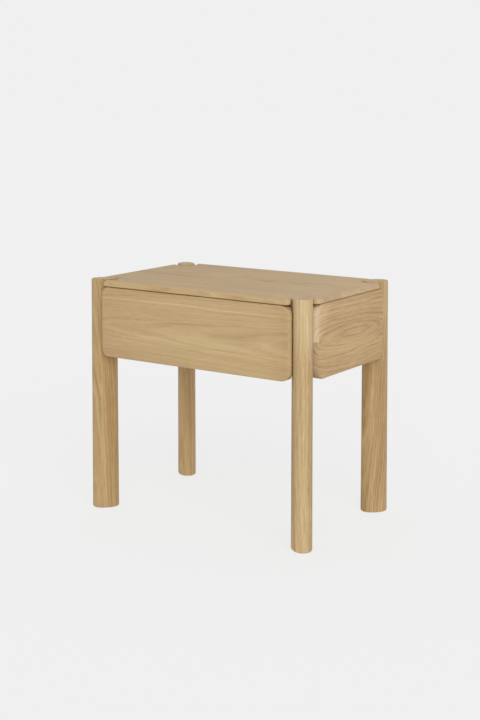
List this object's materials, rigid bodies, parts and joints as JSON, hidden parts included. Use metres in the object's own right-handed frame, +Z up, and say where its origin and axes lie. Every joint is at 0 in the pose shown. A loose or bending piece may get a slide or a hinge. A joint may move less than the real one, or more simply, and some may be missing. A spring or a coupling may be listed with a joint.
{
  "type": "bedside table",
  "caption": "Solid oak bedside table: oval corner legs, a top notched round them, panelled sides and back, and a drawer with a plain handle-less front on telescopic slides.",
  "frame": {"origin": "on the floor, under the centre of the table's footprint", "axes": "+Z up; +X is the table's right as seen from the front; -Y is the front, the way the drawer opens"},
  "size_m": [0.5508, 0.3488, 0.5012],
  "materials": {
    "oak": "matt oiled, light natural oak",
    "oak_inner": "matt oiled, light natural oak, not figured",
    "plywood": "matt lacquered plywood",
    "zinc_steel": "bright zinc plated sheet",
    "screw_steel": "yellow zinc plated",
    "glide": "brown moulded plastic"
  },
  "bodies": {
    "carcass": {"back_panel": "oak", "batten_screw_left_back": "screw_steel", "batten_screw_left_front": "screw_steel", "batten_screw_right_back": "screw_steel", "batten_screw_right_front": "screw_steel", "cleat_screw_left_back": "screw_steel", "cleat_screw_left_front": "screw_steel", "cleat_screw_right_back": "screw_steel", "cleat_screw_right_front": "screw_steel", "front_bottom_rail": "oak_inner", "front_rail_screw_left": "screw_steel", "front_rail_screw_right": "screw_steel", "front_top_rail": "oak_inner", "glide_back_left": "glide", "glide_back_right": "glide", "glide_front_left": "glide", "glide_front_right": "glide", "leg_back_left": "oak", "leg_back_right": "oak", "leg_front_left": "oak", "leg_front_right": "oak", "runner_batten_left": "oak_inner", "runner_batten_right": "oak_inner", "side_panel_left": "oak", "side_panel_right": "oak", "slide_fixed_left": "zinc_steel", "slide_fixed_right": "zinc_steel", "slide_screw_left_back": "screw_steel", "slide_screw_left_front": "screw_steel", "slide_screw_right_back": "screw_steel", "slide_screw_right_front": "screw_steel", "top_cleat_left": "oak_inner", "top_cleat_right": "oak_inner", "top_panel": "oak", "top_screw_left_back": "screw_steel", "top_screw_left_front": "screw_steel", "top_screw_right_back": "screw_steel", "top_screw_right_front": "screw_steel"},
    "slide_left": {"slide_middle_left": "zinc_steel"},
    "slide_right": {"slide_middle_right": "zinc_steel"},
    "drawer": {"drawer_bottom": "plywood", "drawer_box_back": "oak_inner", "drawer_box_front": "oak_inner", "drawer_front": "oak", "drawer_screw_left_back": "screw_steel", "drawer_screw_left_front": "screw_steel", "drawer_screw_right_back": "screw_steel", "drawer_screw_right_front": "screw_steel", "drawer_side_left": "oak_inner", "drawer_side_right": "oak_inner", "front_screw_left_high": "screw_steel", "front_screw_left_low": "screw_steel", "front_screw_right_high": "screw_steel", "front_screw_right_low": "screw_steel", "slide_drawer_left": "zinc_steel", "slide_drawer_right": "zinc_steel"}
  },
  "joints": [
    {"name": "drawer_slide", "type": "slide", "parent": "carcass", "child": "drawer", "axis": [0, -1, 0], "range_m": [0, 0.26]},
    {"name": "left_middle_slide", "type": "slide", "parent": "carcass", "child": "slide_left", "axis": [0, -1, 0], "range_m": [0, 0.13]},
    {"name": "right_middle_slide", "type": "slide", "parent": "carcass", "child": "slide_right", "axis": [0, -1, 0], "range_m": [0, 0.13]}
  ],
  "couplings": [
    {"joint": "left_middle_slide", "follows": "drawer_slide", "ratio": 0.5},
    {"joint": "right_middle_slide", "follows": "drawer_slide", "ratio": 0.5}
  ]
}
